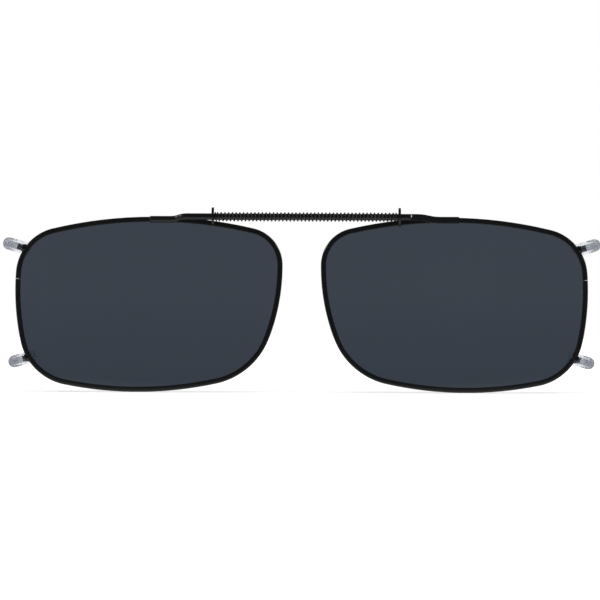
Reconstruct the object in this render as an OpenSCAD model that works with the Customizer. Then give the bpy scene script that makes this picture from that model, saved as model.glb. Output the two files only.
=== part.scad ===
// Clip-on sunglass lenses on a sprung draw bridge.
// X runs to the right as the clip is seen from the front, Y runs towards the wearer and Z is up.
// The origin lies midway between the two eyes, at half their height, on the plane that the
// wearer's own spectacles rest against. All sizes are in millimetres.

/* [Eye shape] */
// Width of one eye, over the outside of its rim
eye_w = 56; // [50:0.5:60]
// Height of one eye, over the outside of its rim
eye_h = 36.7; // [32:0.1:42]
// Gap between the two rims over the nose
nose_gap = 8; // [6:0.5:14]
// Radius of the top side, as a share of the width
top_bow = 1.64; // [1.3:0.01:2.5]
// Highest point of the top side, from the middle towards the temple, as a share of the width
top_lean = -0.021; // [-0.05:0.001:0.05]
// Radius of the temple side, as a share of the height
temple_bow = 1.42; // [1.2:0.01:2.2]
// Widest point of the temple side, above the middle, as a share of the height
temple_lift = 0.082; // [0:0.001:0.12]
// Radius of the bottom side, as a share of the width
bottom_bow = 1.39; // [1.1:0.01:2.1]
// Lowest point of the bottom side, from the middle towards the temple, as a share of the width
bottom_lean = 0.043; // [-0.03:0.001:0.06]
// Radius of the nasal side, as a share of the height
nasal_bow = 1.15; // [1:0.01:1.6]
// Innermost point of the nasal side, above the middle, as a share of the height
nasal_lift = 0.219; // [0.15:0.001:0.24]
// Corner between the top and the temple side, as a share of the height
top_temple = 0.274; // [0.2:0.001:0.3]
// Corner between the temple side and the bottom, as a share of the height
low_temple = 0.315; // [0.26:0.001:0.33]
// Corner between the bottom and the nasal side, as a share of the height
low_nasal = 0.411; // [0.34:0.001:0.43]
// Corner between the nasal side and the top, as a share of the height
top_nasal = 0.214; // [0.18:0.001:0.24]
// Radius of the ball that both lenses are curved to
base_r = 200; // [120:5:400]

/* [Rim wire] */
// Width of the rim as seen from the front
rim_w = 1.08; // [1:0.02:1.4]
// Depth of the rim from front to back
rim_d = 1.6; // [1.5:0.05:2.2]
// Rounding of the two outer edges
rim_round = 0.35; // [0.2:0.05:0.5]
// Chamfer of the two lips beside the groove
lip_chamfer = 0.14; // [0.05:0.01:0.2]
// Height of the butt seam on the temple side, above the middle, as a share of the height
seam_lift = 0.145; // [0.1:0.001:0.17]
// Width of the butt seam
seam_gap = 0.05; // [0.04:0.01:0.3]

/* [Lens] */
// Thickness of the lens
lens_t = 0.8; // [0.6:0.05:1]
// Depth to which the lens edge enters the groove
lens_bite = 0.4; // [0.25:0.05:0.5]
// Clearance round the lens edge in its groove
lens_fit = 0.06; // [0.03:0.01:0.1]

/* [Bridge wires] */
// Diameter of the round bar that the two half-round wires make together
wire_d = 1.4; // [1:0.05:1.6]
// Clearance between the flat faces of the two wires
wire_gap = 0.06; // [0.04:0.01:0.12]
// Height of the bridge axis above the top of the rims
bridge_rise = 0; // [-0.2:0.05:1]
// Height of the foot's upper edge above the top of the rims
foot_rise = 0.15; // [0:0.05:0.4]
// Distance from the middle of the eye to the end of the straight wire, towards the nose
bend_in = 8.2; // [7.5:0.1:10]
// Length of the left wire's double bend
left_bend_l = 3.8; // [3:0.1:6]
// Length of the right wire's double bend
right_bend_l = 5.2; // [3:0.1:6]
// End of the left wire's foot past the middle of the eye, towards the temple
left_foot_past = -0.1; // [-1:0.1:2]
// End of the right wire's foot past the middle of the eye, towards the temple
right_foot_past = 1; // [-1:0.1:2]
// Solder line between the foot and the front of the rim
foot_fit = 0.02; // [0.01:0.01:0.05]
// Gap at rest between the rear wire's end and the front wire's bend, which stops it
rest_gap = 0.3; // [0.1:0.05:1]
// Bare end of the front wire past its stop disc
stub_l = 2.3; // [1:0.1:2.4]

/* [Bridge spring] */
// Distance from the left bend to the left stop disc
left_setback = 5.2; // [3:0.1:8]
// Distance from the right bend to the right stop disc
right_setback = 3.4; // [3:0.1:8]
// Diameter of the two stop discs
stop_d = 3.9; // [3:0.1:4.5]
// Thickness of the two stop discs
stop_t = 0.52; // [0.3:0.02:0.8]
// Running clearance between a stop disc and the wire that slides through it
slide_fit = 0.05; // [0.03:0.01:0.1]
// Solder clearance between a stop disc and its own wire
solder_fit = 0.01; // [0.01:0.01:0.03]
// Clearance between the stop discs and the front of the rims
stop_clear = 0.1; // [0.1:0.05:0.5]
// Diameter of the spring's wire
spring_wire = 0.24; // [0.2:0.02:0.32]
// Advance of the spring in one curl
spring_pitch = 0.79; // [0.76:0.01:1.2]
// Clearance between the spring and the wires inside it
spring_fit = 0.03; // [0.03:0.01:0.15]
// Radius of the bend where each end of the spring turns to face its stop disc
spring_turn_r = 0.3; // [0.25:0.05:0.4]
// Clearance between the spring's ends and the stop discs
spring_seat = 0.02; // [0.01:0.01:0.05]

/* [Prongs] */
// Diameter of the prong wire
prong_d = 1.45; // [1.2:0.05:1.5]
// Place of the upper prong round its corner, in degrees above level
upper_root = 34; // [24:1:36]
// Place of the lower prong round its corner, in degrees below level
lower_root = 30; // [22:1:36]
// Tilt of the prongs away from level, in degrees
prong_splay = 17; // [12:1:20]
// Straight run from the rim to the upper prong's first bend
upper_out = 1.8; // [1:0.05:2.2]
// Straight run from the rim to the lower prong's first bend
lower_out = 1.2; // [1:0.05:2.2]
// Radius of the first bend
first_bend_r = 1.6; // [1.55:0.05:2]
// Turn of the first bend, in degrees
first_bend = 90; // [80:1:95]
// Radius of the second bend
second_bend_r = 2; // [1.7:0.1:2.5]
// Turn of the second bend, in degrees
second_bend = 80; // [70:1:90]
// Straight run from the second bend to the end of the wire
prong_tip = 1.6; // [0.8:0.1:2]
// Room between the back of the rim and the hook, for the wearer's lens
hook_throat = 4.6; // [4:0.1:5.5]
// Solder line between the prong and the rim
prong_fit = 0.03; // [0.01:0.01:0.05]

/* [Tip sleeves] */
// Wall of the soft sleeve
sleeve_wall = 0.57; // [0.4:0.01:0.65]
// Length of prong left bare between the rim and the sleeve
sleeve_set = 0.5; // [0.45:0.05:0.8]
// Clearance between the sleeve and the prong wire
sleeve_fit = 0.03; // [0.01:0.01:0.05]
// Wall past the end of the wire
sleeve_end = 0.1; // [0.05:0.05:0.3]

/* [Hidden] */

$fn = 64;
ball_fn = 400;       // facets of the large ball that curves the lenses
side_steps = 7;      // steps along each side of the eye
corner_steps = 9;    // steps round each corner of the eye
ring_sides = 6;      // sides of the spring's wire
rings_per_curl = 8;
turn_steps = 3;      // steps round the bend at each end of the spring
bar_sides = 16;      // sides of the prong wires and their sleeves
bend_step = 14;      // most degrees in one step of a prong's bend
tip_steps = 4;       // steps round a sleeve's tip
section_steps = 12;  // steps round a half-round wire

black = "#1b1d20";
steel = "#2b2d30";
smoke = [0.23, 0.26, 0.29, 0.85];
clear_grey = [0.78, 0.81, 0.84, 0.6];

// The eye's outline lies in (u, v): u runs towards the temple, v up, from the middle of the eye.
// Four side circles as [u, v, radius], clockwise from the top, and the fillets between them.
eye_x = (nose_gap + eye_w) / 2;
sides = [
    [eye_w * top_lean, eye_h / 2 - eye_w * top_bow, eye_w * top_bow],
    [eye_w / 2 - eye_h * temple_bow, eye_h * temple_lift, eye_h * temple_bow],
    [eye_w * bottom_lean, eye_w * bottom_bow - eye_h / 2, eye_w * bottom_bow],
    [eye_h * nasal_bow - eye_w / 2, eye_h * nasal_lift, eye_h * nasal_bow]
];
corner_r = eye_h * [top_temple, low_temple, low_nasal, top_nasal];
corners = [for (i = [0:3]) fillet(sides[i], sides[(i + 1) % 4], corner_r[i])];

// Fillet circle that touches circles p and q from within, on the right of the way from p to q
function fillet(p, q, r) =
    let (
        reach_p = p[2] - r,
        reach_q = q[2] - r,
        way = [q[0] - p[0], q[1] - p[1]],
        d = norm(way),
        along = (reach_p ^ 2 - reach_q ^ 2 + d ^ 2) / (2 * d),
        across = sqrt(reach_p ^ 2 - along ^ 2)
    )
    [p[0] + (along * way[0] + across * way[1]) / d, p[1] + (along * way[1] - across * way[0]) / d, r];

function bearing(p, q) = atan2(q[1] - p[1], q[0] - p[0]);
function clockwise(from, to) = (from - to + 360) % 360;

// An arc is [u, v, radius, first angle, clockwise turn, steps]
function side_arc(i) =
    let (first = bearing(sides[i], corners[(i + 3) % 4]))
    concat(sides[i], [first, clockwise(first, bearing(sides[i], corners[i])), side_steps]);
function corner_arc(i) =
    let (first = bearing(sides[i], corners[i]))
    concat(corners[i], [first, clockwise(first, bearing(sides[(i + 1) % 4], corners[i])), corner_steps]);

// The rim starts below its seam on the temple side and runs clockwise to the seam again
temple = side_arc(1);
seam_a = asin((seam_lift - temple_lift) / temple_bow);
half_seam_a = asin(seam_gap / 2 / sides[1][2]);
below_seam = concat(
    sides[1],
    [seam_a - half_seam_a, temple[4] - temple[3] + seam_a - half_seam_a, side_steps - 2]
);
above_seam = concat(sides[1], [temple[3], temple[3] - seam_a - half_seam_a, 2]);
outline = [
    below_seam, corner_arc(1), side_arc(2), corner_arc(2), side_arc(3),
    corner_arc(3), side_arc(0), corner_arc(0), above_seam
];
stations = concat(
    [for (arc = outline) for (i = [0:arc[5] - 1]) [arc[0], arc[1], arc[2], arc[3] - arc[4] * i / arc[5]]],
    [concat(sides[1], [seam_a + half_seam_a])]
);

// Point of the outline at a station, moved inwards by inset
function eye_point(s, inset) =
    [s[0] + (s[2] - inset) * cos(s[3]), s[1] + (s[2] - inset) * sin(s[3])];

// How far the curve of the lens falls back at a point of the eye
function sag(p) = base_r - sqrt(base_r ^ 2 - p[0] ^ 2 - p[1] ^ 2);

// Places on the rim where the prongs are soldered, and the depth of the middle of the eye
upper_p = eye_point(concat(corners[0], [upper_root]), 0);
lower_p = eye_point(concat(corners[1], [-lower_root]), 0);
eye_y = -rim_d / 2 - sag(upper_p);

// Groove and lens edge
groove_w = lens_t + 2 * lens_fit;
lens_inset = rim_w - lens_bite;
floor_inset = lens_inset - lens_fit;

// Bridge: places of its bends, stops and axis
wire_r = wire_d / 2;
wire_edge_a = acos(wire_gap / 2 / wire_r);
foot_z = eye_h / 2 + foot_rise - wire_r;
bend_x = eye_x - bend_in;
left_stop_x = -bend_x + left_setback;
right_stop_x = bend_x - right_setback;
stop_r = stop_d / 2;
bridge_z = eye_h / 2 + bridge_rise;
stop_u = max(right_stop_x, -left_stop_x) - eye_x;
bridge_y = eye_y + sag([stop_u, bridge_z - stop_r]) - rim_d / 2 - stop_r - stop_clear;
foot_y = eye_y + sag([0, foot_z - wire_r]) - rim_d / 2 - foot_fit;

// Spring: its curls start and end far enough from the discs for the turned ends
curl_r = (wire_r + spring_fit + spring_wire / 2) / cos(180 / rings_per_curl);
spring_x0 = left_stop_x + stop_t / 2 + spring_seat;
spring_x1 = right_stop_x - stop_t / 2 - spring_seat;
rise_a = atan(spring_pitch / (2 * PI * curl_r));
turn_a = 90 - rise_a;
end_l = spring_wire + spring_turn_r * sin(turn_a);
curls = round((spring_x1 - spring_x0 - 2 * end_l) / spring_pitch);
lead = (spring_x1 - spring_x0 - 2 * end_l) / curls;

// Prong and sleeve
prong_r = prong_d / 2;
sleeve_r = prong_r + sleeve_fit + sleeve_wall;
prong_reach = (rim_d / 2 + hook_throat + sleeve_r - first_bend_r * (1 - cos(first_bend))
    - second_bend_r * (1 + cos(first_bend))) / sin(first_bend);

// Faces of a tube of rings, each of m points, closed by its two end rings
function tube_faces(rings, m) = concat(
    [[for (j = [0:m - 1]) j]],
    [for (i = [0:rings - 2]) for (j = [0:m - 1])
        let (a = i * m + j, b = i * m + (j + 1) % m)
        each [[a, a + m, b + m], [a, b + m, b]]],
    [[for (j = [m - 1:-1:0]) (rings - 1) * m + j]]
);

// Half of the rim's section as [inset, depth], from the middle of the outside to the groove floor
half_section = [
    for (a = [0:45:90])
        [rim_round * (1 - cos(a)), rim_d / 2 - rim_round * (1 - sin(a))],
    [rim_w - lip_chamfer, rim_d / 2],
    [rim_w, rim_d / 2 - lip_chamfer],
    [rim_w, groove_w / 2],
    [floor_inset, groove_w / 2]
];
rim_section = concat(
    half_section,
    [for (i = [len(half_section) - 1:-1:0]) [half_section[i][0], -half_section[i][1]]]
);

// Rim of the right eye
module rim() {
    points = [
        for (s = stations) for (q = rim_section)
            let (p = eye_point(s, q[0]))
            [eye_x + p[0], eye_y + sag(p) + q[1], p[1]]
    ];
    polyhedron(points, tube_faces(len(stations), len(rim_section)));
}

// Lens of the right eye: a curved shell cut to the outline
module lens() {
    depth = 2 * sag([eye_w / 2, eye_h / 2]) + 2 * lens_t;
    intersection() {
        translate([eye_x, eye_y + depth, 0])
            rotate([90, 0, 0])
                linear_extrude(2 * depth)
                    polygon([for (s = stations) eye_point(s, lens_inset)]);
        translate([eye_x, eye_y + base_r, 0])
            difference() {
                sphere(base_r + lens_t / 2, $fn = ball_fn);
                sphere(base_r - lens_t / 2, $fn = ball_fn);
            }
    }
}

// Half-round hole in (Y, Z): side is -1 for the front wire and 1 for the rear one
module half_round(r, side) {
    intersection() {
        circle(r);
        translate([side > 0 ? 0 : -r, -r])
            square([r, 2 * r]);
    }
}

// Bridge wire of the right eye, from its place on the bridge axis: straight from far_x to the
// bend, then a double bend that moves it by shift in (Y, Z), and a foot
module bridge_wire(far_x, shift, bend_l, foot_past) {
    tilt = atan2(shift[1], shift[0]);
    turn = 2 * atan(norm(shift) / bend_l);
    r = bend_l / (2 * sin(turn));
    foot_l = bend_in + foot_past - bend_l;
    wire_path = [["run", bend_x - far_x], ["bend", turn, r], ["bend", -turn, -r], ["run", foot_l]];
    section = [
        for (a = [-wire_edge_a:2 * wire_edge_a / section_steps:wire_edge_a])
            wire_r * [cos(a - tilt), sin(a - tilt)]
    ];
    translate([far_x, 0, 0])
        rotate([tilt, 0, 0])
            skin(path_rings(wire_path), section);
}

// Stop disc, soldered to the wire on its own side and free to slide on the other
module stop_disc(x, own) {
    translate([x - stop_t / 2, bridge_y, bridge_z])
        rotate([90, 0, 90])
            linear_extrude(stop_t)
                difference() {
                    circle(stop_r);
                    half_round(wire_r + solder_fit, own);
                    half_round(wire_r + slide_fit, -own);
                }
}

// Spring: each ring of its path is [point, heading, outward direction]
function outward(a) = [0, cos(a), sin(a)];
function onward(a) = [0, -sin(a), cos(a)];
function curl_ring(a) = [
    [spring_x0 + end_l + lead * a / 360, 0, 0] + curl_r * outward(a),
    sin(rise_a) * [1, 0, 0] + cos(rise_a) * onward(a),
    outward(a)
];
// Ring in the turned end at angle a, where dir is 1 at the first end and -1 at the last;
// turned is the part of the bend that is already behind, straight is the run past it
function end_ring(a, dir, turned, straight) =
    let (
        near = curl_ring(a),
        lag = spring_turn_r * (sin(turn_a) - sin(turned)) + straight,
        side = spring_turn_r * (cos(turned) - cos(turn_a))
    )
    [
        near[0] - dir * (lag * [1, 0, 0] + side * onward(a)),
        cos(turned) * [1, 0, 0] + sin(turned) * onward(a),
        outward(a)
    ];
last_a = 360 * curls;
spring_path = concat(
    [end_ring(0, 1, 0, spring_wire)],
    [for (i = [0:turn_steps - 1]) end_ring(0, 1, turn_a * i / turn_steps, 0)],
    [for (i = [0:curls * rings_per_curl]) curl_ring(360 * i / rings_per_curl)],
    [for (i = [turn_steps - 1:-1:0]) end_ring(last_a, -1, turn_a * i / turn_steps, 0)],
    [end_ring(last_a, -1, 0, spring_wire)]
);
// Least distance between parts of the spring about one curl apart, less its wire
quarter_curl = rings_per_curl / 4;
spring_gap = min([
    for (i = [0:len(spring_path) - 1])
        for (j = [i + 3 * quarter_curl:min(i + 5 * quarter_curl, len(spring_path) - 1)])
            norm(spring_path[i][0] - spring_path[j][0])
]) - spring_wire;
echo(str("least gap of the spring to itself: ", spring_gap, " mm in ", curls, " curls"));

module spring() {
    points = [
        for (ring = spring_path) for (j = [0:ring_sides - 1])
            let (a = 360 * (j + 0.5) / ring_sides, beside = cross(ring[1], ring[2]))
            ring[0] + spring_wire / 2 * (cos(a) * ring[2] + sin(a) * beside)
    ];
    translate([0, bridge_y, bridge_z])
        polyhedron(points, tube_faces(len(spring_path), ring_sides));
}

// A bent bar follows a path of ["run", length] and ["bend", degrees, radius] in a plane.
// Its rings are [along, across, heading], from the origin along the first axis.
function path_steps(step, at) =
    step[0] == "run"
        ? [[at[0] + step[1] * cos(at[2]), at[1] + step[1] * sin(at[2]), at[2]]]
        : let (n = ceil(abs(step[1]) / bend_step))
          [for (k = [1:n])
              let (h = at[2] + step[1] * k / n)
              [at[0] + step[2] * (sin(h) - sin(at[2])), at[1] + step[2] * (cos(at[2]) - cos(h)), h]];
function path_rings(path, at = [0, 0, 0], i = 0) =
    i == len(path)
        ? [at]
        : let (steps = path_steps(path[i], at), last = len(steps) - 1)
          concat([at], [for (k = [0:1:last - 1]) steps[k]], path_rings(path, steps[last], i + 1));

// Solid skin that carries a section over rings of [along, across, heading], scaled at each ring;
// slant leans the first ring over, by its run along the path for each unit of height
module skin(rings, section, scales = [], slant = 0) {
    points = [
        for (i = [0:len(rings) - 1]) for (q = section)
            let (ring = rings[i], k = len(scales) > 0 ? scales[i] : 1, lean = i == 0 ? slant * q[1] : 0)
            [ring[0] + lean - k * q[0] * sin(ring[2]), ring[1] + k * q[0] * cos(ring[2]), k * q[1]]
    ];
    polyhedron(points, tube_faces(len(rings), len(section)));
}

round_section = [
    for (j = [0:bar_sides - 1])
        let (a = 360 * (j + 0.5) / bar_sides)
        [cos(a), sin(a)]
];
// Rings of a prong, where up is 1 for the upper one and -1 for the lower one
function prong_rings(up) = path_rings([
    ["run", sleeve_set],
    ["run", (up > 0 ? upper_out : lower_out) - sleeve_set],
    ["bend", first_bend, first_bend_r],
    ["run", prong_reach],
    ["bend", second_bend, second_bend_r],
    ["run", prong_tip]
]);
mouth = 1;  // ring at which the sleeve starts
function past_end(end, l) = [end[0] + l * cos(end[2]), end[1] + l * sin(end[2]), end[2]];

// Angle between a prong and the rim's own outward direction at its root
function root_turn(up) = (up > 0 ? upper_root : lower_root) - prong_splay;

// Sets its children at a prong's root on the right rim, heading outwards
module at_prong(up) {
    p = up > 0 ? upper_p : lower_p;
    translate([eye_x + p[0], eye_y + sag(p), p[1]])
        rotate([0, -up * prong_splay, 0])
            translate([prong_fit / cos(root_turn(up)), 0, 0])
                children();
}

// Prong with its root cut to the slope of the rim
module prong(up) {
    at_prong(up)
        skin(prong_rings(up), prong_r * round_section, slant = -up * tan(root_turn(up)));
}

// Soft sleeve over the hook: its skin runs up the blind bore to the mouth, over the lip
// and along the outside to a round tip
module sleeve(up) {
    rings = prong_rings(up);
    last = len(rings) - 1;
    hook_rings = [for (i = [mouth:last]) rings[i]];
    bore = concat([past_end(rings[last], sleeve_end)], [for (i = [last:-1:mouth]) rings[i]]);
    tip_a = [for (k = [1:tip_steps]) 90 * k / (tip_steps + 0.5)];
    tip = [for (a = tip_a) past_end(rings[last], sleeve_r * sin(a))];
    radii = concat(
        [for (ring = bore) prong_r + sleeve_fit],
        [for (ring = hook_rings) sleeve_r],
        [for (a = tip_a) sleeve_r * cos(a)]
    );
    at_prong(up)
        skin(concat(bore, hook_rings, tip), round_section, radii);
}

module left_side() {
    mirror([1, 0, 0])
        children();
}

module right_rim() { color(black) rim(); }
module left_rim() { color(black) left_side() rim(); }
module right_lens() { color(smoke) lens(); }
module left_lens() { color(smoke) left_side() lens(); }

// The left eye's wire lies in front and the right eye's wire behind it, flat to flat.
// The left one is a rear wire turned about, so its shift towards the rim turns about too.
module left_bridge_wire() {
    shift = [bridge_y - wire_gap / 2 - foot_y, foot_z - bridge_z];
    color(black)
        translate([0, bridge_y, bridge_z])
            rotate(180)
                bridge_wire(-right_stop_x - stop_t / 2 - stub_l, shift, left_bend_l, left_foot_past);
}
module right_bridge_wire() {
    shift = [foot_y - bridge_y - wire_r, foot_z - bridge_z];
    color(black)
        translate([0, bridge_y, bridge_z])
            bridge_wire(-bend_x + rest_gap, shift, right_bend_l, right_foot_past);
}
module left_wire_stop() { color(black) stop_disc(right_stop_x, -1); }
module right_wire_stop() { color(black) stop_disc(left_stop_x, 1); }
module bridge_spring() { color(steel) spring(); }

module right_upper_prong() { color(black) prong(1); }
module right_lower_prong() { color(black) prong(-1); }
module left_upper_prong() { color(black) left_side() prong(1); }
module left_lower_prong() { color(black) left_side() prong(-1); }
module right_upper_sleeve() { color(clear_grey) sleeve(1); }
module right_lower_sleeve() { color(clear_grey) sleeve(-1); }
module left_upper_sleeve() { color(clear_grey) left_side() sleeve(1); }
module left_lower_sleeve() { color(clear_grey) left_side() sleeve(-1); }

left_rim();
right_rim();
left_lens();
right_lens();
left_bridge_wire();
right_bridge_wire();
left_wire_stop();
right_wire_stop();
bridge_spring();
left_upper_prong();
left_lower_prong();
right_upper_prong();
right_lower_prong();
left_upper_sleeve();
left_lower_sleeve();
right_upper_sleeve();
right_lower_sleeve();
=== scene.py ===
import math

import bmesh
import bpy
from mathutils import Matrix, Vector


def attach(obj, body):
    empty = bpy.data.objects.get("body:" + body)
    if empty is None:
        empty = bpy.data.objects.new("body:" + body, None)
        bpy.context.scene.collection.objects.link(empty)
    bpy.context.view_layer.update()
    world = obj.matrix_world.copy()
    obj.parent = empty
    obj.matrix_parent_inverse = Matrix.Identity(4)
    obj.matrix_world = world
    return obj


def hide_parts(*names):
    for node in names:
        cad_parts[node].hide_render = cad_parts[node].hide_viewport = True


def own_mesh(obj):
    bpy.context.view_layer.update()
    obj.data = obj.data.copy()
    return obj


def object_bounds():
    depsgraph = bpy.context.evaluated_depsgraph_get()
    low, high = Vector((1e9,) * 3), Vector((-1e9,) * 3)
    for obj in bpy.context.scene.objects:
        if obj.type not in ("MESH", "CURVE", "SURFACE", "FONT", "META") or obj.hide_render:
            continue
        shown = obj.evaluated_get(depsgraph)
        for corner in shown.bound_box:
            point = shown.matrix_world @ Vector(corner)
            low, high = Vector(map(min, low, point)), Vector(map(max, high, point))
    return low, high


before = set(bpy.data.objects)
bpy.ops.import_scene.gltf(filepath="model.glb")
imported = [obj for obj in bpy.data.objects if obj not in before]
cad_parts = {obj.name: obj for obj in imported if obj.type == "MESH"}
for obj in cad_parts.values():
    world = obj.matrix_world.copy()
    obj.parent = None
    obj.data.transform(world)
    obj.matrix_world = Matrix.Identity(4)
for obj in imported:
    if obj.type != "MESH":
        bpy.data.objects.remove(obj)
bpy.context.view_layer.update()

mm = 0.001  # the frame is in metres, the sizes below are in millimetres
mergeReach = 0.0002  # points nearer than this are one point


# Small helpers

def hexToLinear(code):
    parts = [int(code[i:i + 2], 16) / 255 for i in (1, 3, 5)]
    return [c / 12.92 if c <= 0.04045 else ((c + 0.055) / 1.055) ** 2.4 for c in parts] + [1.0]


def addNode(tree, kind, settings={}, links={}):
    node = tree.nodes.new(kind)
    for name, value in settings.items():
        setattr(node, name, value)
    for key, value in links.items():
        if isinstance(value, bpy.types.NodeSocket):
            tree.links.new(value, node.inputs[key])
        else:
            node.inputs[key].default_value = value
    return node


def lineObject(name, points, closed, girth=None):
    last = len(points) if closed else len(points) - 1
    mesh = bpy.data.meshes.new(name)
    mesh.from_pydata([Vector(p) * mm for p in points], [(i, (i + 1) % len(points)) for i in range(last)], [])
    if girth:
        mesh.attributes.new("girth", "FLOAT", "POINT").data.foreach_set("value", girth)
    obj = bpy.data.objects.new(name, mesh)
    bpy.context.scene.collection.objects.link(obj)
    return obj


def settle(obj, sharpAngle=38):
    # turns live modifiers into a plain closed mesh with outward faces
    bpy.context.view_layer.update()
    made = bpy.data.meshes.new_from_object(obj.evaluated_get(bpy.context.evaluated_depsgraph_get()))
    obj.modifiers.clear()
    obj.data = made
    shape = bmesh.new()
    shape.from_mesh(made)
    bmesh.ops.remove_doubles(shape, verts=shape.verts, dist=mergeReach * mm)
    bmesh.ops.recalc_face_normals(shape, faces=shape.faces)
    shape.to_mesh(made)
    shape.free()
    made.polygons.foreach_set("use_smooth", [True] * len(made.polygons))
    made.set_sharp_from_angle(angle=math.radians(sharpAngle))
    return obj


def meshObject(name, points, faces, material):
    mesh = bpy.data.meshes.new(name)
    mesh.from_pydata([Vector(p) * mm for p in points], [], faces)
    mesh.materials.append(material)
    obj = bpy.data.objects.new(name, mesh)
    bpy.context.scene.collection.objects.link(obj)
    return settle(obj)


def applyTree(obj, tree, values):
    # every input is set by its identifier before the object is first evaluated
    modifier = obj.modifiers.new(tree.name, "NODES")
    modifier.node_group = tree
    for item in tree.interface.items_tree:
        if item.in_out == "INPUT" and item.name in values:
            modifier[item.identifier] = values[item.name]
    return settle(obj)


def newTree(name, inputs):
    tree = bpy.data.node_groups.new(name, "GeometryNodeTree")
    tree.interface.new_socket(name="Geometry", in_out="INPUT", socket_type="NodeSocketGeometry")
    for label, kind in inputs:
        tree.interface.new_socket(name=label, in_out="INPUT", socket_type="NodeSocket" + kind)
    tree.interface.new_socket(name="Geometry", in_out="OUTPUT", socket_type="NodeSocketGeometry")
    return tree, tree.nodes.new("NodeGroupInput").outputs, tree.nodes.new("NodeGroupOutput").inputs


def roundLoop(corners, steps=5):
    # closed outline through corners of (x, y, radius), each rounded
    loop = []
    for i, (x, y, r) in enumerate(corners):
        here = Vector((x, y))
        back = (Vector(corners[i - 1][:2]) - here).normalized()
        on = (Vector(corners[(i + 1) % len(corners)][:2]) - here).normalized()
        if r == 0:
            loop.append((x, y))
            continue
        half = back.angle(on) / 2
        middle = here + (back + on).normalized() * (r / math.sin(half))
        first, last = here + back * (r / math.tan(half)) - middle, here + on * (r / math.tan(half)) - middle
        start, turn = math.atan2(first.y, first.x), first.angle_signed(last)
        for k in range(steps + 1):
            a = start - turn * k / steps
            loop.append((middle.x + r * math.cos(a), middle.y + r * math.sin(a)))
    return loop


# Materials: the sizes of their patterns are in millimetres, as on the real surfaces

def newMaterial(name, principled):
    material = bpy.data.materials.new(name)
    material.use_nodes = True
    tree = material.node_tree
    shader = next(n for n in tree.nodes if n.type == "BSDF_PRINCIPLED")
    for key, value in principled.items():
        shader.inputs[key].default_value = value
    place = addNode(tree, "ShaderNodeTexCoord").outputs["Object"]
    return material, tree, shader.inputs, place


noiseSpan = (0.3, 0.7)  # nearly all of a noise lies between these
noiseDetail = 3.0  # octaves of a noise, where its look asks for no other

# Black enamel, baked on drawn wire: deep black with a wet gloss that ripples a little
enamelLook = {
    "colours": ("#101113", "#17181a"), "patch": 1.8, "sheen": 0.7, "roughness": (0.16, 0.3),
    "ripple": 0.45, "rippleDepth": 0.004, "rippleStrength": 0.5,  # drawn coarser than real, to show
    "rippleDetail": 2.0,
}
enamel, tree, shader, place = newMaterial("blackEnamelBaked", {"IOR": 1.5, "Specular IOR Level": 0.36})
patch = addNode(tree, "ShaderNodeTexNoise", links={
    "Vector": place, "Scale": 1 / (enamelLook["patch"] * mm), "Detail": noiseDetail})
colour = addNode(tree, "ShaderNodeMix", {"data_type": "RGBA"}, {
    0: patch.outputs["Fac"],
    6: hexToLinear(enamelLook["colours"][0]), 7: hexToLinear(enamelLook["colours"][1])})
tree.links.new(colour.outputs[2], shader["Base Color"])
sheen = addNode(tree, "ShaderNodeTexNoise", links={
    "Vector": place, "Scale": 1 / (enamelLook["sheen"] * mm), "Detail": noiseDetail})
sheen = addNode(tree, "ShaderNodeMapRange", links={
    "Value": sheen.outputs["Fac"], "From Min": noiseSpan[0], "From Max": noiseSpan[1],
    "To Min": enamelLook["roughness"][0], "To Max": enamelLook["roughness"][1]})
tree.links.new(sheen.outputs["Result"], shader["Roughness"])
ripple = addNode(tree, "ShaderNodeTexNoise", links={
    "Vector": place, "Scale": 1 / (enamelLook["ripple"] * mm), "Detail": enamelLook["rippleDetail"]})
ripple = addNode(tree, "ShaderNodeBump", links={
    "Height": ripple.outputs["Fac"], "Distance": enamelLook["rippleDepth"] * mm,
    "Strength": enamelLook["rippleStrength"]})
tree.links.new(ripple.outputs["Normal"], shader["Normal"])

# Smoke-grey lens sheet, polished: clear to look through, with a slight slate cast; painted shade makes it
# darker towards the bottom and lighter towards the top
lensLook = {
    "colours": ("#333b44", "#3c424b"), "paintedShadeFrom": -18.0, "paintedShadeTo": 2.0, "paintedShadeShare": 0.8,
    "cloud": 22.0, "cloudDetail": 1.0, "cloudShare": 0.25,
}
smoke, tree, shader, place = newMaterial("smokeSheetPolished", {
    "IOR": 1.49, "Transmission Weight": 1.0, "Roughness": 0.0})
spot = addNode(tree, "ShaderNodeSeparateXYZ", links={"Vector": place}).outputs
# painted shade: the lens colour darkens from the top towards the bottom
rise = addNode(tree, "ShaderNodeMapRange", links={
    "Value": spot["Z"], "From Min": lensLook["paintedShadeFrom"] * mm, "From Max": lensLook["paintedShadeTo"] * mm,
    "To Min": 0.0, "To Max": lensLook["paintedShadeShare"]})
cloud = addNode(tree, "ShaderNodeTexNoise", links={
    "Vector": place, "Scale": 1 / (lensLook["cloud"] * mm), "Detail": lensLook["cloudDetail"]})
cloud = addNode(tree, "ShaderNodeMath", {"operation": "MULTIPLY_ADD"}, {
    0: cloud.outputs["Fac"], 1: lensLook["cloudShare"], 2: rise.outputs["Result"]})
colour = addNode(tree, "ShaderNodeMix", {"data_type": "RGBA"}, {
    0: cloud.outputs[0], 6: hexToLinear(lensLook["colours"][0]), 7: hexToLinear(lensLook["colours"][1])})
tree.links.new(colour.outputs[2], shader["Base Color"])

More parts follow.
